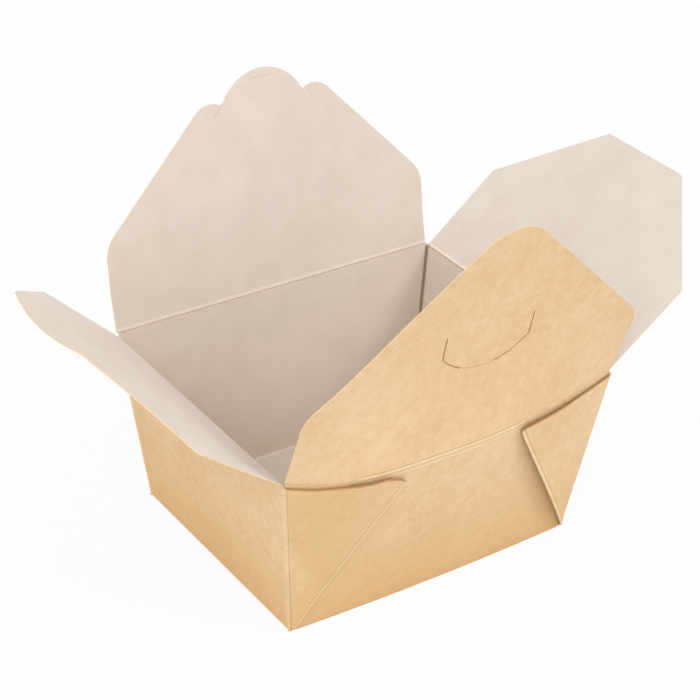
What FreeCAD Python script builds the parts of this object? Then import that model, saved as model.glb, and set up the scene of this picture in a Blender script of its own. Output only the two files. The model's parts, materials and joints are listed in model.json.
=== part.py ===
"""Takeaway box folded from one sheet of paperboard, with four lid flaps standing open.

Millimetres. The origin is the middle of the underside of the base. X runs along the long
sides, the front is towards -Y and Z is up. The box is one folded sheet: base, four flared
walls and the corner webs, which are folded double and lie on the outside of the front and
back walls. Each lid flap turns on the crease along the top of its wall.
"""
import FreeCAD, Part
import math
import os

Vector = FreeCAD.Vector

# Sheet and folds
board = 0.4                # thickness of the paperboard
fold_radius = 0.8          # outside radius of a pressed fold
web_gap = 0.25             # air between the two layers of a folded corner web
corner_gap = 0.3           # slit inside the box between a long wall's end and the short wall
crease_gap = 0.15          # air between a flap's rolled crease and the top of its wall
layer_gap = 0.1            # air between two flaps that lie closed on each other
side_gap = 0.2             # air between a closed end flap and the long walls beside it
end_gap = 0.2              # air between a long flap's side edge and the crease of the end flap

# Walls, measured over their outer faces
base_length = 113.0
base_width = 88.5
rim_length = 130.0
rim_width = 103.5
rim_height = 63.8          # height of the lowest flap crease, where the rim sizes are taken

# End flaps, left and right: straight sides, then a taper to a blunt end
end_flap_length = 70.85
end_flap_shoulder = 36.7   # where the straight sides end
end_flap_tip = 38.2        # width of the blunt end

# Long flaps, front and back: straight sides, a rounded shoulder and a slanted edge
long_flap_shoulder = 29.1  # where the side and the slanted edge would meet
shoulder_radius = 12.0
front_flap_point = 90.0    # height at which the two slanted edges would meet
front_flap_radius = 15.5   # rounding of that point
back_flap_point = 94.1

# Tongue at the top of the back flap
tongue_half_width = 15.5   # at its root
tongue_radius = 17.5
tongue_rise = 9.4          # from its root to its tip
hump_offset = 20.8         # middle of the rounded hump on each side of the tongue
hump_radius = 8.0
notch_half_width = 16.8    # where each hump runs down into its notch
neck_cut_length = 4.3      # cut that runs down from each notch
neck_cut_angle = 36.0      # of that cut, from the flap's own middle line
cut_width = 0.3            # width of a knife cut in the board

# Slit in the front flap that takes the tongue
slit_clearance = 1.2       # on each side of the tongue
slit_radius = 22.3         # of its curved lower edge
slit_leg = 8.5             # height of its two straight legs
tongue_tuck = 5.0          # how far the closed tongue reaches past the curved edge

# How far each flap stands up from the outward horizontal, in degrees
front_flap_angle = 74.0
back_flap_angle = 78.9
left_flap_angle = 43.0
right_flap_angle = 40.0

reach = 4.0 * (rim_length + rim_width + rim_height)     # longer than any cutting tool needs


class Wall:
    """One wall with its own flat frame: X along it, Y up it and Z out of its outer face."""

    def __init__(self, out_x, out_y, layer):
        out = Vector(out_x, out_y, 0)
        if out_y:
            sizes = base_width, rim_width, base_length, rim_length
        else:
            sizes = base_length, rim_length, base_width, rim_width
        base_out, rim_out, self.base_half, self.rim_half = [size / 2 for size in sizes]
        flare = math.atan2(rim_out - base_out, rim_height)
        self.out = out
        self.along = Vector(-out_y, out_x, 0)
        self.slope = math.cos(flare)
        up = out * math.sin(flare) + Vector(0, 0, self.slope)
        self.place = FreeCAD.Placement(out * base_out, FreeCAD.Rotation(self.along, up, self.along.cross(up)))
        # lean of the wall's end edge, within the wall's own plane
        self.lean = math.atan2(self.rim_half - self.base_half, rim_height / self.slope)
        # the crease runs along the middle of the board, one layer higher for each flap closed later
        self.crease_height = rim_height + layer * (board + layer_gap)
        self.crease_up = (self.crease_height - board / 2 * math.sin(flare)) / self.slope
        self.top = self.crease_up - board / 2 - crease_gap
        self.crease = self.place.multVec(Vector(0, self.crease_up, -board / 2))

    def block(self, low, high):
        """A box between two corners given in the wall's frame."""
        size = Vector(*high) - Vector(*low)
        box = Part.makeBox(size.x, size.y, size.z, Vector(*low))
        box.Placement = self.place
        return box

    def panel(self, corners, low, high):
        """A flat polygon on the wall, from one height to another above its outer face."""
        points = [Vector(x, y, low) for x, y in corners]
        panel = Part.Face(Part.makePolygon(points + points[:1])).extrude(Vector(0, 0, high - low))
        panel.Placement = self.place
        return panel


left = Wall(-1, 0, 0)
right = Wall(1, 0, 1)
front = Wall(0, -1, 2)
back = Wall(0, 1, 3)
long_walls = front, back
end_walls = left, right
web_stack = 2 * board + web_gap          # a folded web stands this far out of the long wall


def half_size(wall, height, grow):
    """Distance from the middle of the box to a wall's outer face moved out by grow."""
    out = wall.place.Base.Length
    return out + math.sqrt(1 / wall.slope ** 2 - 1) * height + grow / wall.slope


def frustum(low, grow_ends, grow_long, radius, upright):
    """Solid with the flare of the walls, its lower folds rounded, and its upright ones if asked."""
    loops = []
    for height in (low, back.crease_height + board):
        x = half_size(right, height, grow_ends)
        y = half_size(front, height, grow_long)
        points = [Vector(*corner, height) for corner in ((-x, -y), (x, -y), (x, y), (-x, y), (-x, -y))]
        loops.append(Part.makePolygon(points))
    solid = Part.makeLoft(loops, True, True)
    folds = []
    for edge in solid.Edges:
        heights = [vertex.Z for vertex in edge.Vertexes]
        if max(heights) < low + board / 2 or (upright and min(heights) < low + board / 2):
            folds.append(edge)
    return solid.makeFillet(radius, folds)


def tray(grow_long, upright):
    """Folded sheet of the base and four walls, the long walls moved out by grow_long."""
    outside = frustum(0, 0, grow_long, fold_radius, upright)
    return outside.cut(frustum(board, -board, grow_long - board, fold_radius - board, upright))


def web(wall, end_wall, side, envelope):
    """One corner web: the outer panel with the corner fold, the inner panel and their fold."""
    rise = end_wall.top * end_wall.slope / wall.slope
    run = rise * math.tan(wall.lean)
    root = (side * wall.base_half, 0)
    corner = (side * (wall.base_half + run), rise)
    # the flat sheet has a full turn round the base corner, and the web takes half of what is left
    half_angle = math.radians(45) - (wall.lean + end_wall.lean) / 2
    fold_length = math.hypot(rise, run)
    turn = half_angle - wall.lean
    tip = (root[0] - side * fold_length * math.sin(turn), fold_length * math.cos(turn))
    past_corner = side * (board + fold_radius)
    outer_corners = [root, (root[0] + past_corner, 0), (corner[0] + past_corner, rise), corner, tip]
    outer = envelope.common(wall.panel(outer_corners, 0, web_stack + board))
    inner = wall.panel([root, corner, tip], 0, board)
    middle = web_stack / 2
    along_fold = Vector(tip[0] - root[0], tip[1], 0)
    fold = Part.makeCylinder(middle, fold_length, Vector(*root, middle), along_fold)
    fold.Placement = wall.place
    return outer.fuse([inner, fold])


def box_body():
    body = tray(0, False)
    envelope = tray(web_stack, True)
    webs = []
    cuts = []
    for wall in long_walls:
        # the wall's frame runs to the right seen from outside, so its ends swap at the back
        for side in (-1, 1):
            end_wall = right if wall.along.x * side > 0 else left
            webs.append(web(wall, end_wall, side, envelope))
            slab = end_wall.block((-reach, 0, -board - corner_gap), (reach, reach, -board))
            zone = wall.block((-reach, 0, -board - fold_radius), (reach, reach, board + web_gap))
            above_base = Part.makeBox(reach, reach, reach, Vector(-reach / 2, -reach / 2, fold_radius))
            cuts.append(slab.common(zone).common(above_base))
        cuts.append(wall.block((-reach, wall.top, -board - fold_radius), (reach, reach, fold_radius)))
    for wall in end_walls:
        cuts.append(wall.block((-reach, wall.top, -board - corner_gap / 2), (reach, reach, fold_radius)))
    cuts.append(Part.makeBox(reach, reach, reach, Vector(-reach / 2, -reach / 2, -reach)))
    for folded_web in webs:
        body = body.fuse(folded_web)
    for cut in cuts:
        body = body.cut(cut)
    return body


def arc(centre, radius, start, end):
    """Edge of a circle in the flap's flat frame, with its angles in radians."""
    return Part.ArcOfCircle(Part.Circle(Vector(*centre, 0), Vector(0, 0, 1), radius), start, end).toShape()


def line(start, end):
    return Part.makeLine(Vector(*start, 0), Vector(*end, 0))


def end_of(edge):
    return tuple(edge.valueAt(edge.LastParameter))[:2]


def start_of(edge):
    return tuple(edge.valueAt(edge.FirstParameter))[:2]


def mirrored_face(edges):
    """Face inside an outline whose right half is given, from the crease round to the middle."""
    other_half = [edge.mirror(Vector(0, 0, 0), Vector(1, 0, 0)) for edge in edges]
    return Part.Face(Part.Wire(Part.__sortEdges__(edges + other_half)))


def plate(face):
    """Board of full thickness with the face at its middle layer."""
    face.translate(Vector(0, 0, -board / 2))
    return face.extrude(Vector(0, 0, board))


def crease_span():
    """Distance between the front and back creases."""
    return back.crease.y - front.crease.y


def slant(half_width, point):
    """Turn of a slanted edge from the flap's middle line."""
    return math.atan2(half_width, point - long_flap_shoulder)


def long_flap_side(half_width, turn):
    """Crease, straight side and rounded shoulder of the right half of a long flap."""
    centre = (half_width - shoulder_radius, long_flap_shoulder - shoulder_radius * math.tan(turn / 2))
    shoulder = arc(centre, shoulder_radius, 0, turn)
    return [line((0, 0), (half_width, 0)), line((half_width, 0), start_of(shoulder)), shoulder]


def front_flap_plate(half_width):
    turn = slant(half_width, front_flap_point)
    side = long_flap_side(half_width, turn)
    centre = (0, front_flap_point - front_flap_radius / math.sin(turn))
    peak = arc(centre, front_flap_radius, turn, math.pi / 2)
    flap = plate(mirrored_face(side + [line(end_of(side[-1]), start_of(peak)), peak]))
    return flap.cut(slit_tool())


def slit_tool():
    """Knife cut of the slit: two straight legs joined by a curved lower edge."""
    lowest = crease_span() - back_flap_length() + tongue_tuck
    centre_height = lowest + slit_radius
    half_width = tongue_half_width + slit_clearance
    top = centre_height - math.sqrt(slit_radius ** 2 - half_width ** 2) + slit_leg

    def region(grow, upper):
        x = half_width + grow
        radius = slit_radius + grow
        spread = math.asin(x / radius)
        curve = arc((0, centre_height), radius, -math.pi / 2, spread - math.pi / 2)
        sides = [curve, line(end_of(curve), (x, upper)), line((x, upper), (0, upper))]
        return plate(mirrored_face(sides))

    return region(cut_width / 2, top).cut(region(-cut_width / 2, top + board))


def hump(half_width):
    """Rounded hump beside the tongue, from the slanted edge down into its notch."""
    turn = slant(half_width, back_flap_point)
    drop = (hump_radius + hump_offset * math.cos(turn)) / math.sin(turn)
    dip = math.acos((notch_half_width - hump_offset) / hump_radius)
    return arc((hump_offset, back_flap_point - drop), hump_radius, turn, dip)


def tongue_root():
    """Height at which the tongue leaves the line between the two humps' notches."""
    bottom = end_of(hump(long_half_width()))[1]
    return bottom + (notch_half_width - tongue_half_width) / 2


def back_flap_length():
    return tongue_root() + tongue_rise


def back_flap_plate(half_width):
    side = long_flap_side(half_width, slant(half_width, back_flap_point))
    shoulder = hump(half_width)
    root = (tongue_half_width, tongue_root())
    tip = (0, back_flap_length())
    # the tongue is an arc through its root and its tip
    half_chord = math.hypot(root[0], tip[1] - root[1]) / 2
    sagitta = tongue_radius - math.sqrt(tongue_radius ** 2 - half_chord ** 2)
    across = ((tip[1] - root[1]) / (2 * half_chord), root[0] / (2 * half_chord))
    bulge = (root[0] / 2 + sagitta * across[0], (root[1] + tip[1]) / 2 + sagitta * across[1])
    tongue = Part.Arc(Vector(*root, 0), Vector(*bulge, 0), Vector(*tip, 0)).toShape()
    notch = line(end_of(shoulder), root)
    outline = side + [line(end_of(side[-1]), start_of(shoulder)), shoulder, notch, tongue]
    flap = plate(mirrored_face(outline))
    notch_x, notch_y = end_of(shoulder)
    for end in (-1, 1):
        knife = Part.makeBox(cut_width, neck_cut_length + cut_width, board)
        knife.translate(Vector(-cut_width / 2, -neck_cut_length, -board / 2))
        knife.rotate(Vector(0, 0, 0), Vector(0, 0, 1), end * neck_cut_angle)
        knife.translate(Vector(end * notch_x, notch_y, 0))
        flap = flap.cut(knife)
    return flap


def end_flap_plate(half_width):
    corners = [(0, 0), (half_width, 0), (half_width, end_flap_shoulder)]
    corners += [(end_flap_tip / 2, end_flap_length), (0, end_flap_length)]
    return plate(mirrored_face([line(a, b) for a, b in zip(corners, corners[1:])]))


def long_half_width():
    """A long flap closes between the creases of the two end flaps."""
    return -left.crease.x - board / 2 - end_gap


def end_half_width():
    """An end flap closes between the inner faces of the two long walls."""
    return half_size(front, left.crease_height - board, -board) - side_gap


def hang(wall, flap, half_width, angle):
    """Add the rolled crease to a flat flap and turn it up on the crease of its wall."""
    roll = Part.makeCylinder(board / 2, 2 * half_width, Vector(-half_width, 0, 0), Vector(1, 0, 0))
    flap = flap.fuse(roll)
    turn = math.radians(angle)
    rise = wall.out * math.cos(turn) + Vector(0, 0, math.sin(turn))
    frame = FreeCAD.Rotation(wall.along, rise, wall.along.cross(rise))
    flap.Placement = FreeCAD.Placement(wall.crease, frame)
    return flap


parts = {
    "box_body": box_body(),
    "front_flap": hang(front, front_flap_plate(long_half_width()), long_half_width(), front_flap_angle),
    "back_flap": hang(back, back_flap_plate(long_half_width()), long_half_width(), back_flap_angle),
    "left_flap": hang(left, end_flap_plate(end_half_width()), end_half_width(), left_flap_angle),
    "right_flap": hang(right, end_flap_plate(end_half_width()), end_half_width(), right_flap_angle),
}

os.makedirs("parts", exist_ok=True)
for name, shape in parts.items():
    print(name, "valid", shape.isValid(), "solids", len(shape.Solids), "volume", round(shape.Volume, 2))
    shape.exportStep("parts/" + name + ".step")
for name, wall in (("front", front), ("back", back), ("left", left), ("right", right)):
    print(name, "crease at", [round(value, 4) for value in wall.crease])
print("flap half widths", round(long_half_width(), 3), round(end_half_width(), 3))
print("back flap length", round(back_flap_length(), 2))
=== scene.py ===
import json
import math

import bpy
import numpy as np
from mathutils import Matrix, Vector


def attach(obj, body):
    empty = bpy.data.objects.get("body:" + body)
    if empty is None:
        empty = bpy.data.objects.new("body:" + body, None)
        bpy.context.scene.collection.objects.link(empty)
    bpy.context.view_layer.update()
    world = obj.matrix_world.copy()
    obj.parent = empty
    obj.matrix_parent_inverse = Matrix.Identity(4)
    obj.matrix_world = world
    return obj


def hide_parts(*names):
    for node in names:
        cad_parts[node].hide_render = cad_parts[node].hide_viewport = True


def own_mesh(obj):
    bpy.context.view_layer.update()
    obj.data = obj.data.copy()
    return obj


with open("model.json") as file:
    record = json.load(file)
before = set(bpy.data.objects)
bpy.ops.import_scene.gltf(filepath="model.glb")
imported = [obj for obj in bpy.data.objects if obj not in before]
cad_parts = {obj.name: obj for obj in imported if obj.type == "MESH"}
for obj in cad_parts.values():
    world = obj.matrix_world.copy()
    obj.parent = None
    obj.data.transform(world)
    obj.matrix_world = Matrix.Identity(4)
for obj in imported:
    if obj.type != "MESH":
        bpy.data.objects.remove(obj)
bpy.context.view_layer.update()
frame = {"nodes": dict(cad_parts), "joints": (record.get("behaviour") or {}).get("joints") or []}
bpy.context.scene.view_settings.view_transform = "Standard"


# The board: one sheet of about 320 grams per square metre, brown and unbleached outside, with
# a pale coating on the side that meets the food. Where it was cut, the edge shows bare fibre.

BOARD = 0.0004
BEAD = 0.0003                         # how far above a brown crease its pale bead lies
BROWN_LOW, BROWN_HIGH = (217, 183, 138), (233, 203, 162)
PALE_LOW, PALE_HIGH = (223, 210, 197), (231, 219, 207)


def linear(red, green, blue):
    """A colour named by its 0 to 255 screen values, as the light it stands for."""
    shares = [value / 255 for value in (red, green, blue)]
    light = [((share + 0.055) / 1.055) ** 2.4 if share > 0.04045 else share / 12.92 for share in shares]
    return (*light, 1.0)


class Strand:
    """One value in a material's node tree, so that shader sums read as plain arithmetic."""

    def __init__(self, finish, socket):
        self.finish = finish
        self.socket = socket

    def sum(self, operation, *values):
        return self.finish.node("ShaderNodeMath", {"operation": operation}, dict(enumerate(values)))

    def __add__(self, other):
        return self.sum("ADD", self, other)

    def __neg__(self):
        return 0.0 - self

    def __sub__(self, other):
        return self.sum("SUBTRACT", self, other)

    def __rsub__(self, other):
        return self.sum("SUBTRACT", other, self)

    def __mul__(self, other):
        return self.sum("MULTIPLY", self, other)

    def __abs__(self):
        return self.sum("ABSOLUTE", self)

    __radd__ = __add__


class Finish:
    """A material whose nodes are added one by one and joined as they come."""

    def __init__(self, name):
        self.material = bpy.data.materials.new(name)
        self.material.use_nodes = True
        self.tree = self.material.node_tree
        self.tree.nodes.clear()
        self.place = self.node("ShaderNodeTexCoord", {}, {}, "Object")

    def node(self, kind, settings, inputs, output=0):
        node = self.tree.nodes.new(kind)
        for name, value in settings.items():
            setattr(node, name, value)
        for name, value in inputs.items():
            if isinstance(value, Strand):
                self.tree.links.new(value.socket, node.inputs[name])
            else:
                node.inputs[name].default_value = value
        return Strand(self, node.outputs[output])

    def split(self, vector):
        return [self.node("ShaderNodeSeparateXYZ", {}, {0: vector}, name) for name in "XYZ"]

    def sheet(self):
        """From an attribute: height above a crease, how clear that is, and distance from a cut."""
        return self.split(self.node("ShaderNodeAttribute", {"attribute_name": "sheet"}, {}, "Vector"))

    def grain(self, size, detail=3.0, stretch=(1, 1, 1), roughness=0.5):
        """Soft noise of a given size in metres, from 0 to 1, finer along an axis if asked."""
        scaled = self.node("ShaderNodeMapping", {}, {"Vector": self.place, "Scale": stretch})
        inputs = {"Vector": scaled, "Scale": 1 / size, "Detail": detail, "Roughness": roughness}
        return self.node("ShaderNodeTexNoise", {}, inputs)

    def ramp(self, value, low, high):
        """0 below low and 1 above high, with soft ends."""
        return self.node("ShaderNodeMapRange", {"interpolation_type": "SMOOTHSTEP"},
                         {"Value": value, "From Min": low, "From Max": high})

    def band(self, value, middle, half_width):
        """1 where the value is at the middle, and 0 from half_width away."""
        return 1.0 - self.ramp(abs(value - middle), half_width * 0.3, half_width)

    def blend(self, share, first, second):
        return self.node("ShaderNodeMix", {"data_type": "RGBA"}, {0: share, 6: first, 7: second}, 2)

    def near_plane(self, point, direction, width):
        """1 on the plane through a point, square to a direction, and 0 from width away."""
        offset = self.node("ShaderNodeVectorMath", {"operation": "SUBTRACT"},
                           {0: self.place, 1: tuple(point)})
        across = self.node("ShaderNodeVectorMath", {"operation": "DOT_PRODUCT"},
                           {0: offset, 1: tuple(direction)}, "Value")
        return self.band(across, 0.0, width)

    def box_edges(self, walls, grow, width):
        """1 along the box's base and corner folds, on planes moved out of the walls by grow."""
        near = {name: self.near_plane(wall.foot + wall.normal * grow, wall.normal, width)
                for name, wall in walls.items()}
        end, long = near["left"] + near["right"], near["front"] + near["back"]
        base = self.near_plane((0, 0, -grow), (0, 0, 1), width)
        return end * long + base * (end + long)

    def surface(self, colour, roughness, height, depth, shine):
        """Close the material with a principled surface and a shallow bump."""
        bump = self.node("ShaderNodeBump", {}, {"Height": height, "Distance": depth}, "Normal")
        inputs = {"Base Color": colour, "Roughness": roughness, "Specular IOR Level": shine,
                  "Normal": bump}
        return self.close(self.node("ShaderNodeBsdfPrincipled", {}, inputs))

    def close(self, shader):
        output = self.tree.nodes.new("ShaderNodeOutputMaterial")
        self.tree.links.new(shader.socket, output.inputs["Surface"])
        return self.material


def brown_board(walls):
    """Unbleached face: fine fibres, soft clouds of colour and paler, stretched creases, with painted
    light and shade.
    """
    finish = Finish("brown_board")
    x, y, z = finish.split(finish.place)
    height, clear, from_cut = finish.sheet()

    fibres = finish.grain(0.0008, 4.0, (1.0, 1.0, 2.2), 0.62)
    flecks = finish.grain(0.0005, 2.0, (0.35, 1.0, 1.0))
    mottle = finish.grain(0.0035, 3.0)
    clouds = finish.grain(0.035, 2.0)
    tone = fibres * 0.42 + mottle * 0.30 + clouds * 0.28
    colour = finish.blend(finish.ramp(tone, 0.34, 0.66), linear(*BROWN_LOW), linear(*BROWN_HIGH))
    colour = finish.blend(finish.ramp(flecks, 0.62, 0.78) * 0.16, colour, linear(198, 158, 106))

    # painted light: warmer low down, as the light the table throws back would make it
    painted_light_low_down = 1.0 - finish.ramp(z, 0.0, 0.042)
    colour = finish.blend(painted_light_low_down * 0.55, colour, linear(220, 178, 120))
    # painted shade: darker round the web on the left of the front wall
    painted_shade_left = finish.ramp(-x, 0.020, 0.052) * finish.ramp(-y, 0.049, 0.052)
    painted_shade_left *= finish.ramp(-z, -0.068, -0.060)
    colour = finish.blend(painted_shade_left * 0.5, colour, linear(212, 172, 116))

    # a clear crease is a pale bead with a line of painted shade above it, a blunt one has only
    # painted shade in the fold, and painted shade darkens the paper along the slit and the webs' tops
    bead = finish.band(height, BEAD, 0.0005) * clear
    stretched = bead * 0.6 + finish.box_edges(walls, BOARD, 0.0016) * 0.22
    colour = finish.blend(stretched * (0.45 + mottle * 0.9), colour, linear(250, 234, 205))
    line = finish.band(height, 0.00095, 0.00035) * clear
    colour = finish.blend(line * 0.4, colour, linear(176, 128, 74))
    shade = finish.band(height, -0.0001, 0.0005) * (1.0 - clear)
    colour = finish.blend(shade * 0.8, colour, linear(120, 76, 34))
    cut = finish.band(from_cut, 0.0, 0.0005)
    colour = finish.blend(cut * 0.7, colour, linear(172, 120, 64))

    relief = fibres * 0.5 + mottle * 0.5 + bead * 2.0
    return finish.surface(colour, 0.68 + fibres * 0.16, relief, 0.00006, shine=0.2)


def pale_coating(walls):
    """Coated face: smoother, faintly clouded, with a soft shine, creases that stay pale and painted
    shade.
    """
    finish = Finish("pale_coating")
    _, _, z = finish.split(finish.place)
    height, clear, _ = finish.sheet()

    fibres = finish.grain(0.0011, 3.0, (1.0, 1.0, 2.0))
    clouds = finish.grain(0.010, 3.0)
    wide = finish.grain(0.05, 2.0)
    tone = clouds * 0.5 + wide * 0.5
    colour = finish.blend(finish.ramp(tone, 0.30, 0.70), linear(*PALE_LOW), linear(*PALE_HIGH))
    colour = finish.blend(finish.ramp(fibres, 0.56, 0.80) * 0.10, colour, linear(205, 186, 170))
    # painted shade: darker low down in the box
    painted_light_low_down = 1.0 - finish.ramp(z, 0.0, 0.045)
    colour = finish.blend(painted_light_low_down * 0.28, colour, linear(186, 169, 146))

    bead = finish.band(height, 0.0006, 0.0008) * clear
    stretched = bead * 0.7 + finish.box_edges(walls, -0.0006, 0.0009) * 0.35
    colour = finish.blend(stretched, colour, linear(244, 234, 224))
    # a dark brown line on the corner fold between the back and right walls: the brown board in the
    # narrow gap there, with painted shade
    back, right = [finish.near_plane(wall.foot - wall.normal * 0.0005, wall.normal, 0.0011)
                   for wall in (walls["back"], walls["right"])]
    colour = finish.blend(back * right * 0.75, colour, linear(124, 96, 66))
    # painted shade: a darker line in the fold of a clear crease
    line = finish.band(height, -0.0002, 0.0003) * clear
    colour = finish.blend(line * 0.5, colour, linear(160, 134, 108))

    relief = fibres * 0.4 + clouds * 0.4 + bead * 1.5
    return finish.surface(colour, 0.50 + clouds * 0.16, relief, 0.00005, shine=0.3)


def raw_edge():
    """Cut edge: bare fibre, paler than the brown face."""
    finish = Finish("cut_edge")
    fibres = finish.grain(0.0003, 2.0)
    colour = finish.blend(fibres, linear(222, 190, 146), linear(240, 216, 178))
    return finish.surface(colour, 0.8 + fibres * 0.1, fibres, 0.00003, shine=0.2)


# The folded box: base, end walls, back wall and the two webs behind it. It is the sheet's
# middle part. The walls stand on pressed folds, and each corner web is folded double and glued
# flat to the outside of the long wall.

FOLD_RADIUS = 0.0008
WEB_STACK = 0.00105                   # a web's two layers, with the gap between them
BASE = Vector((0.113, 0.0885))        # over the outer faces of the walls, as the rim is
RIM = Vector((0.130, 0.1035))
RIM_HEIGHT = 0.0638
CORNER_STRIP = 0.0007                 # how far round its corner an end wall is taken with the box
SAME_POINT = 1e-6                     # points of a CAD mesh that lie closer are one
ON_PLANE = 1e-7                       # a point that lies closer to a cutting plane isn't cut off
BEND = math.radians(25)               # a sharper turn between two faces shows as an edge
FAR = 1.0                             # the distance noted where no crease or cut is near


class Wall:
    """A wall's flat frame: along it, up it and out of its outer face, from the foot's middle."""

    def __init__(self, *out):
        self.out = Vector(out)
        across = 0 if out[0] else 1
        flare = (RIM[across] - BASE[across]) / 2
        self.foot = self.out * BASE[across] / 2
        self.up = (self.out * flare + Vector((0, 0, RIM_HEIGHT))).normalized()
        self.along = Vector((-self.out.y, self.out.x, 0))
        self.normal = self.along.cross(self.up)
        self.foot_half = BASE[1 - across] / 2
        self.reach = RIM_HEIGHT / self.up.z            # how far up the wall the rim sizes are taken
        # its ends widen towards the rim by this angle, within the wall
        self.lean = math.atan2((RIM[1 - across] - BASE[1 - across]) / 2, self.reach)

    def flat(self, points):
        """Points as distances along the wall, up it and out of its outer face."""
        return (points - np.array(self.foot)) @ self.axes().T

    def solid(self, flat):
        """Such distances as points of the box."""
        return flat @ self.axes() + np.array(self.foot)

    def axes(self):
        return np.array([self.along, self.up, self.normal])

    def corner(self, side):
        """A point on the corner fold at one end of the wall, and the way into the wall from it."""
        inwards = -self.along * side * math.cos(self.lean) + self.up * math.sin(self.lean)
        return self.foot + self.along * side * self.foot_half, inwards


walls = {"front": Wall(0, -1, 0), "back": Wall(0, 1, 0),
         "left": Wall(-1, 0, 0), "right": Wall(1, 0, 0)}
front = walls["front"]
finishes = [brown_board(walls), pale_coating(walls), raw_edge()]
OUTSIDE, INSIDE, CUT_EDGE = range(3)         # their slots on every piece


def select_alone(piece):
    bpy.ops.object.select_all(action="DESELECT")
    piece.select_set(True)
    bpy.context.view_layer.objects.active = piece


def open_mesh(piece):
    """Select a piece alone and open its mesh with everything in it selected."""
    select_alone(piece)
    bpy.ops.object.mode_set(mode="EDIT")
    bpy.ops.mesh.select_all(action="SELECT")


def copy_of(node, name):
    """A merged copy of a CAD node's mesh, on its own and ready to be shaped."""
    piece = bpy.data.objects.new(name, frame["nodes"][node].data.copy())
    bpy.context.scene.collection.objects.link(piece)
    open_mesh(piece)
    bpy.ops.mesh.remove_doubles(threshold=SAME_POINT)
    bpy.ops.object.mode_set(mode="OBJECT")
    return piece


def keep_side(piece, point, direction):
    """Cut a piece along a plane, keep what lies against the direction and close the cut."""
    open_mesh(piece)
    bpy.ops.mesh.bisect(plane_co=point, plane_no=direction, use_fill=True, clear_outer=True,
                        threshold=ON_PLANE)
    bpy.ops.object.mode_set(mode="OBJECT")


def mark_sheet(piece, crease_height=FAR, clearness=1.0, from_cut=FAR):
    """Note what the finishes ask of each point, as Finish.sheet says, while the sheet is flat."""
    sheet = np.zeros((len(piece.data.vertices), 3))
    sheet[:, 0] = crease_height
    sheet[:, 1] = clearness
    sheet[:, 2] = from_cut
    notes = piece.data.attributes.new("sheet", "FLOAT_VECTOR", "POINT")
    notes.data.foreach_set("vector", sheet.ravel())


def give_finishes(piece):
    """All three finishes, in the order of their slots."""
    piece.data.materials.clear()
    for finish in finishes:
        piece.data.materials.append(finish)


def paint(piece, choose):
    """Give each face the outside, the inside or the cut edge, as its centre and normal say."""
    give_finishes(piece)
    for face in piece.data.polygons:
        face.material_index = choose(face.center, face.normal)


def hand_over(piece, body, node):
    """Smooth the bends of a finished piece and let it stand for its node."""
    select_alone(piece)
    bpy.ops.object.shade_smooth_by_angle(angle=BEND)
    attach(piece, body)
    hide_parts(node)


def board_side(centre, normal):
    """Which side of the board a face of the folded box shows."""
    depths = {name: (centre - wall.foot).dot(wall.normal) for name, wall in walls.items()}
    name = max(depths, key=depths.get)
    if -centre.z > depths[name]:
        return OUTSIDE if normal.z < 0 else INSIDE
    wall, depth = walls[name], depths[name]
    facing = normal.dot(wall.normal)
    if abs(facing) < 0.4:
        return CUT_EDGE if normal.dot(wall.up) > 0.5 else OUTSIDE
    in_pocket = BOARD < depth < WEB_STACK - BOARD
    return OUTSIDE if facing > 0 and not in_pocket else INSIDE


seam = front.foot - front.normal * FOLD_RADIUS
strips = []
for side in (-1, 1):
    strip = copy_of("box_body", "corner_strip")
    corner, inwards = front.corner(side)
    keep_side(strip, seam, -front.normal)
    keep_side(strip, corner + inwards * CORNER_STRIP, inwards)
    strips.append(strip)

box = copy_of("box_body", "folded_box")
keep_side(box, seam, front.normal)
select_alone(box)
for strip in strips:
    strip.select_set(True)
bpy.ops.object.join()
paint(box, board_side)
mark_sheet(box)
hand_over(box, "box", "box_body")


# The front wall, part of the same sheet. The open flap pulls its top edge out of line, so it
# bows between the corners, most on the left, and it straightens as the flap is folded.

RIM_BOW = 0.0109                      # of the rim's middle, out of the line between its corners
BOW_TURN = {-1: 4.2, 1: 1.7}          # how late the bow turns in to the left and right corner
FOOT_BOW = 0.0023                     # of the fold at the base, and half of it by the corners
FOOT_TURN = 80                        # how late that half turns in to them
LIP = 0.0005                          # how far the sheet runs on up into the flap's crease
LIP_START, LIP_RISE = 0.058, 0.006    # it does so from this far up the wall, over this length
SHAVED = 0.05                         # of the board, cut away with the webs that lie on it
COLUMN, ROW = 0.004, 0.006            # between lines cut up and across a board to be bent


def slice_up(piece, origin, direction, steps):
    """Cut lines into a piece at distances from a point, so that it can be bent."""
    open_mesh(piece)
    for step in steps:
        bpy.ops.mesh.select_all(action="SELECT")
        bpy.ops.mesh.bisect(plane_co=origin + direction * step, plane_no=direction, threshold=ON_PLANE)
    bpy.ops.object.mode_set(mode="OBJECT")


def points_of(piece):
    flat = np.empty(len(piece.data.vertices) * 3)
    piece.data.vertices.foreach_get("co", flat)
    return flat.reshape(-1, 3)


def move_points(piece, points):
    piece.data.vertices.foreach_set("co", points.ravel())
    piece.data.update()


def rim_bow(across):
    """How far the front rim stands out at a share of the way from its middle to a corner."""
    turn = np.where(across < 0, BOW_TURN[-1], BOW_TURN[1])
    return RIM_BOW * (1 - np.clip(np.abs(across), 0, 1) ** turn)


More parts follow.
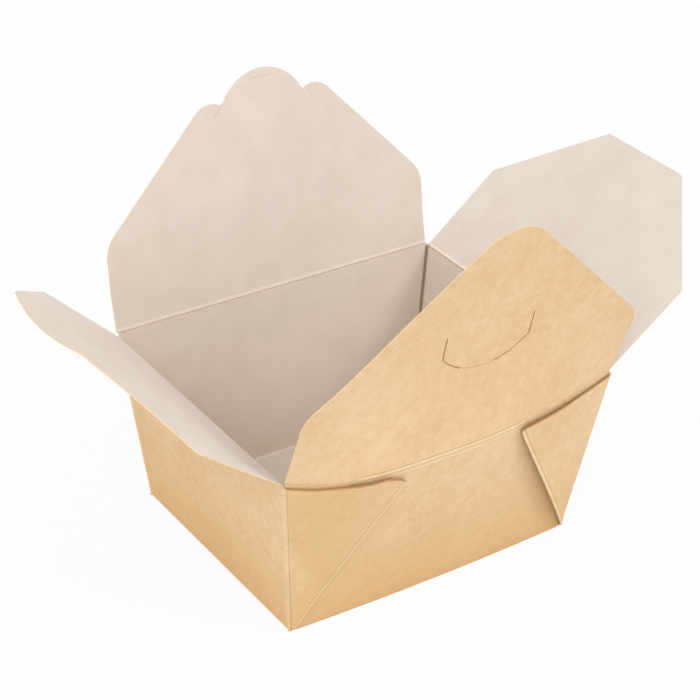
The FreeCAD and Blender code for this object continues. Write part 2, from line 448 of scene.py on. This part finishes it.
def bow_front(flat):
    """The front wall's flat points, moved out where the wall is bowed."""
    height = np.clip(flat[:, 1] / front.reach, 0, None)
    across = flat[:, 0] / (front.foot_half + math.tan(front.lean) * flat[:, 1] - BOARD)
    foot = FOOT_BOW * (1 - np.clip(np.abs(across), 0, 1) ** FOOT_TURN) * (1 - np.clip(height, 0, 1))
    foot *= 1 - 0.5 * np.clip(across, -1, 1) ** 2
    # the fold itself is bent as far as the seam with the base, which stays straight
    foot *= np.clip((flat[:, 2] + FOLD_RADIUS) / BOARD, 0, 1)
    bow = rim_bow(across) * height
    lip = LIP * np.clip((flat[:, 1] - LIP_START) / LIP_RISE, 0, 1)
    return flat + np.stack([0 * bow, lip, bow + foot], axis=1)


front_wall = copy_of("box_body", "front_wall")
keep_side(front_wall, seam, -front.normal)
keep_side(front_wall, front.foot - front.normal * BOARD * SHAVED, front.normal)
for side in (-1, 1):
    corner, inwards = front.corner(side)
    keep_side(front_wall, corner + inwards * CORNER_STRIP, -inwards)
# evenly along the wall, and closer together where the bow of its foot turns in
columns = [-0.0556, -0.0546, *np.arange(-0.060, 0.061, COLUMN), 0.0546, 0.0556]
slice_up(front_wall, front.foot, front.along, columns)
slice_up(front_wall, front.foot, front.up, np.arange(ROW, front.reach, ROW))
paint(front_wall, board_side)
mark_sheet(front_wall)
move_points(front_wall, front.solid(bow_front(front.flat(points_of(front_wall)))))
hand_over(front_wall, "box", "box_body")


# The two front webs: the sheet runs on round the corner from the end wall, folds back on
# itself at the diagonal and is glued to the front wall. The right one has sprung off the wall.

WEB_SIDE = 0.0652                     # along the corner fold, from the base to the web's top edge
WEB_TOP = 0.0635                      # how far up the wall a web may reach, just below the crease
OUTER_DEPTH, INNER_DEPTH = WEB_STACK - BOARD / 2, BOARD / 2
FOLD_SHARE = 0.06                     # of the strip's width that is taken by the turn of the fold
INNER_SHORT = 0.0025                  # how much lower the inner layer ends than the outer one


def front_web(name, side, tip, full, spring, pocket):
    """A web folded from a flat strip. Its tip is given from the wall's middle and up the wall.

    Its top edge is cut fuller by full. At the diagonal it stands off the wall by up to 0.7 of
    spring, and its layers gape at the top by pocket.
    """
    bpy.ops.object.select_all(action="DESELECT")
    bpy.ops.mesh.primitive_grid_add(x_subdivisions=50, y_subdivisions=30, size=1)
    web = bpy.context.object
    web.name = name
    across, along = (points_of(web)[:, :2] + 0.5).T
    across = across if side < 0 else 1 - across
    tip_in, tip_up = front.foot_half - tip[0], tip[1]
    web_angle, fold_length = math.atan2(tip_in, tip_up) + front.lean, math.hypot(tip_in, tip_up)

    # 0 at the corner and 1 at the diagonal, on the outer panel and then back on the inner one
    panel = (1 - FOLD_SHARE) / 2
    outwards = np.clip(np.minimum(across, 1 - across) / panel, 0, 1)
    turned = np.clip((across - panel) / FOLD_SHARE, 0, 1)
    angle = front.lean - outwards * web_angle

    # a straight top edge from the corner to the tip, then full, then no higher than WEB_TOP
    from_corner = WEB_SIDE * np.sin(outwards * web_angle)
    from_tip = fold_length * np.sin((1 - outwards) * web_angle)
    top = WEB_SIDE * fold_length * math.sin(web_angle) / (from_corner + from_tip)
    top = np.minimum(top + full * np.sin(math.pi * outwards), WEB_TOP / np.cos(angle))
    top -= INNER_SHORT * turned
    reach = FOLD_RADIUS + (top - FOLD_RADIUS) * along

    bend = (OUTER_DEPTH - INNER_DEPTH) / 2
    sideways = reach * np.sin(angle) - bend * np.sin(turned * math.pi) - CORNER_STRIP * (1 - outwards)
    depth = (OUTER_DEPTH + INNER_DEPTH) / 2 + bend * np.cos(turned * math.pi)
    # it stands off most a third of the way up the diagonal, and gapes only close to its top edge
    rise = spring * (along ** 0.7 * (1 - along) ** 1.3 * 2.45 + 0.15 * along)
    depth += rise * outwards ** 1.5
    gape = np.sin(math.pi * np.clip(outwards * 1.5 - 0.5, 0, 1)) ** 2 * along ** 6
    depth += pocket * gape * (across < 0.5)
    flat = np.stack([side * (front.foot_half + sideways), reach * np.cos(angle), depth], axis=1)
    move_points(web, front.solid(bow_front(flat)))

    from_fold = reach * np.sin((1 - outwards) * web_angle)
    # the diagonal fold is noted as a crease, and the top edge as a cut where the brown finish paints
    # shade
    mark_sheet(web, BEAD + from_fold * 0.9, 0.8, top - reach)
    give_finishes(web)
    solidify = web.modifiers.new("thickness", "SOLIDIFY")
    solidify.thickness = BOARD
    solidify.offset = 0
    solidify.material_offset = INSIDE
    solidify.material_offset_rim = OUTSIDE
    bpy.ops.object.modifier_apply(modifier=solidify.name)
    hand_over(web, "box", "box_body")
    return web


left_web = front_web("left_front_web", -1, tip=(0.0263, 0.0604), full=0.0038, spring=0.0003,
                     pocket=0.0008)
right_web = front_web("right_front_web", 1, tip=(0.0180, 0.0658), full=0.0017, spring=0.0048,
                      pocket=0.0003)
for web in (left_web, right_web):
    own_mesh(web)
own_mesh(front_wall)


# The front flap, which carries the curved slit for the tongue. It is hinged on the bowed rim,
# so its lower part is bowed with it and it runs flatter towards its rounded top.

FRONT_HALF, FRONT_LENGTH = 0.0644, 0.0836
SIDE_LEAN = 0.0039                    # how far the flap's sides stand out, as from its full length
EDGE = 0.00015                        # the flap's lowest part, which runs down inside the wall's board
TUCK = 0.018                          # of the bow, to bring it there
FIRST_ROW = 0.001                     # the next line cut across a flap to be bent, above its edge
SLIT_HALF, SLIT_LOW, SLIT_HIGH = 0.0175, 0.028, 0.048
SLIT_SHUT = (-0.009, 0.004)           # along the slit, where it has closed again
# outside this span the crease gets painted shade in its fold
CLEAR_CREASE = (-0.042, 0.022)        # along the crease, where it was pressed most clearly


class Flap:
    """A flap's flat frame, from its joint: along the crease, up the flap and out of its brown face."""

    def __init__(self, joint_name):
        joint = next(joint for joint in frame["joints"] if joint["name"] == joint_name)
        self.crease = Vector(joint["pos_m"])
        self.along = -Vector(joint["axis"])
        stand = math.radians(180 - joint["range_deg"][1])
        out = Vector((self.along.y, -self.along.x, 0))
        self.up = out * math.cos(stand) + Vector((0, 0, math.sin(stand)))
        self.normal = self.along.cross(self.up)

    def flat(self, points):
        return (points - np.array(self.crease)) @ np.array([self.along, self.up, self.normal]).T

    def in_slit(self, centre):
        across, height = (centre - self.crease).dot(self.along), (centre - self.crease).dot(self.up)
        return abs(across) < SLIT_HALF and SLIT_LOW < height < SLIT_HIGH

    def side(self, centre, normal):
        facing = normal.dot(self.normal)
        if abs(facing) > 0.5 or (centre - self.crease).dot(self.up) < 0 or self.in_slit(centre):
            return OUTSIDE if facing > -0.5 else INSIDE
        return CUT_EDGE


def cut_flap(node, flap, half_width, length, clear=(-1.0, 1.0)):
    """A painted copy of a flap with lines cut across it both ways, so that it can be bent.

    Its pressed crease shows clearly between two places along it.
    """
    piece = copy_of(node, node + "_board")
    slice_up(piece, flap.crease, flap.along, np.arange(-half_width, half_width, COLUMN))
    slice_up(piece, flap.crease, flap.up, (EDGE, *np.arange(FIRST_ROW, length, COLUMN)))
    paint(piece, flap.side)
    # the slit's edges are noted as a cut, where the brown finish paints shade
    from_cut = np.full(len(piece.data.vertices), COLUMN)
    for face in piece.data.polygons:
        shut = SLIT_SHUT[0] < (face.center - flap.crease).dot(flap.along) < SLIT_SHUT[1]
        if flap.in_slit(face.center) and abs(face.normal.dot(flap.normal)) < 0.5 and not shut:
            from_cut[list(face.vertices)] = 0.0
    across, height, _ = flap.flat(points_of(piece)).T
    mark_sheet(piece, height, ((across > clear[0]) & (across < clear[1])).astype(float), from_cut)
    return piece


front_fold = Flap("front_flap_fold")
front_flap = cut_flap("front_flap", front_fold, FRONT_HALF, FRONT_LENGTH, CLEAR_CREASE)
flat = front_fold.flat(points_of(front_flap))
across, height = flat[:, 0] / FRONT_HALF, np.clip(flat[:, 1] / FRONT_LENGTH, 0, 1)
bow = rim_bow(across) * (1 - height) ** 3
lean = SIDE_LEAN * height * across ** 2
outwards, upwards = bow * front.normal.dot(front_fold.normal), bow * front.normal.dot(front_fold.up)
# its very edge stays at the crease, inside the bowed rim, so that it still meets the rim when shut
edge = 1 - np.clip(flat[:, 1] / EDGE, 0, 1)
upwards *= 1 - edge
outwards += TUCK * bow * edge
offset = np.outer(outwards + lean, front_fold.normal) + np.outer(upwards, front_fold.up)
move_points(front_flap, points_of(front_flap) + offset)
hand_over(front_flap, "front_flap", "front_flap")
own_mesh(front_flap)


# The back flap, with the tongue that closes the box. It stands almost flat, and about a degree
# askew, because the blank was folded a little out of square.

BACK_LENGTH = 0.0787
ASKEW = 0.017                         # sideways for each metre up the flap, and up for each along it
back_fold = Flap("back_flap_fold")
back_flap = cut_flap("back_flap", back_fold, FRONT_HALF, BACK_LENGTH)
flat = back_fold.flat(points_of(back_flap))
# the crease holds it back: free is 0 there, and 1 a third of the way up
free = flat[:, 1] / BACK_LENGTH * 3
sideways = ASKEW * (BACK_LENGTH - flat[:, 1]) * np.clip(free + 0.5, 0, 1)
upwards = ASKEW * flat[:, 0] * np.clip(free, 0, 1)
offset = np.outer(sideways, back_fold.along) + np.outer(upwards, back_fold.up)
move_points(back_flap, points_of(back_flap) + offset)
hand_over(back_flap, "back_flap", "back_flap")


# The end flaps, left and right, which close first. Both have warped a little: their front
# corners hang lower than the rest, and the left one sags between the corners of its blunt end.

END_HALF, END_LENGTH = 0.0511, 0.0709
END_SHOULDER = 0.0367                 # how far out its front corner lies
BLUNT_HALF = 0.4                      # half of the blunt end, as a share of END_HALF


def end_flap(name, front_side, droop, sag):
    """An end flap, warped down by droop at its front corner and by sag in its outer middle."""
    fold = Flap(name + "_fold")
    piece = cut_flap(name, fold, END_HALF, END_LENGTH)
    flat = fold.flat(points_of(piece))
    across, outwards = front_side * flat[:, 0] / END_HALF, flat[:, 1] / END_LENGTH
    warp = droop * np.clip(across, 0, 1) ** 2 * np.clip(flat[:, 1] / END_SHOULDER, 0, 1)
    warp += sag * np.clip(outwards, 0, 1) ** 2 * (1 - np.clip(across / BLUNT_HALF, -1, 1) ** 2)
    move_points(piece, points_of(piece) + np.outer(warp, fold.normal))
    hand_over(piece, name, name)
    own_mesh(piece)


end_flap("left_flap", 1, droop=0.0042, sag=0.0030)
end_flap("right_flap", -1, droop=0.0017, sag=0.0)


# The studio: a plain pale floor and backdrop, even light from the room, and two large soft lamps
# above, on the right and on the left. The camera stands where the corners of the photographed
# box put it.

SEEN_BY = ("Is Camera Ray", "Is Glossy Ray", "Is Transmission Ray")
FLOOR_GLOW = 0.92                     # the rest is matt, and keeps the shadow
ROOM_LIGHT = 0.85
AIM = Vector((0, 0, 0.05))            # what the lamps point at
EYE = Vector((-0.34946, -0.47840, 0.42119))
AZIMUTH, ELEVATION, ROLL = (math.radians(angle) for angle in (-35.739, 30.996, 2.672))
LENS = 105.94


def floor_finish():
    """Pale floor that the camera sees white, with the object's shadow kept."""
    finish = Finish("pale_floor")
    ray = finish.tree.nodes.new("ShaderNodeLightPath")
    seen = sum(Strand(finish, ray.outputs[name]) for name in SEEN_BY)
    matt = finish.node("ShaderNodeBsdfDiffuse", {}, {"Color": (0.86, 0.86, 0.86, 1)})
    bright = finish.node("ShaderNodeEmission", {}, {"Color": (1, 1, 1, 1), "Strength": 1.0})
    mix = finish.node("ShaderNodeMixShader", {}, {0: seen * FLOOR_GLOW, 1: matt, 2: bright})
    return finish.close(mix)


bpy.ops.object.select_all(action="DESELECT")
bpy.ops.mesh.primitive_plane_add(size=12, location=(0, 0, 0))
floor = bpy.context.object
floor.name = "floor"
floor.data.materials.append(floor_finish())

world = bpy.data.worlds.new("studio")
bpy.context.scene.world = world
world.use_nodes = True
nodes, links = world.node_tree.nodes, world.node_tree.links
nodes.clear()
ray = nodes.new("ShaderNodeLightPath")
room, backdrop = nodes.new("ShaderNodeBackground"), nodes.new("ShaderNodeBackground")
for light, strength in ((room, ROOM_LIGHT), (backdrop, 1.0)):
    light.inputs["Color"].default_value = (1, 1, 1, 1)
    light.inputs["Strength"].default_value = strength
mix, world_out = nodes.new("ShaderNodeMixShader"), nodes.new("ShaderNodeOutputWorld")
links.new(ray.outputs["Is Camera Ray"], mix.inputs[0])
links.new(room.outputs[0], mix.inputs[1])
links.new(backdrop.outputs[0], mix.inputs[2])
links.new(mix.outputs[0], world_out.inputs["Surface"])


def lamp(name, place, size, power):
    """A large soft square lamp that points at the box."""
    light = bpy.data.lights.new(name, "AREA")
    light.size = size
    light.energy = power
    holder = bpy.data.objects.new(name, light)
    bpy.context.scene.collection.objects.link(holder)
    holder.location = place
    holder.rotation_euler = (AIM - Vector(place)).to_track_quat("-Z", "Y").to_euler()


lamp("key_lamp", (0.9, -1.2, 1.3), 0.7, 9.0)
lamp("fill_lamp", (-1.3, -0.6, 0.9), 1.2, 7.0)

behind = Vector((math.sin(AZIMUTH) * math.cos(ELEVATION), -math.cos(AZIMUTH) * math.cos(ELEVATION),
                 math.sin(ELEVATION)))
level = Vector((math.cos(AZIMUTH), math.sin(AZIMUTH), 0))
upright = behind.cross(level)
right_hand = level * math.cos(ROLL) + upright * math.sin(ROLL)
head = upright * math.cos(ROLL) - level * math.sin(ROLL)
camera_data = bpy.data.cameras.new("camera")
camera_data.lens = LENS
camera_data.sensor_width = 36
camera_data.clip_start = 0.01
camera = bpy.data.objects.new("camera", camera_data)
bpy.context.scene.collection.objects.link(camera)
camera.matrix_world = Matrix.Translation(EYE) @ Matrix((right_hand, head, behind)).transposed().to_4x4()
bpy.context.scene.camera = camera
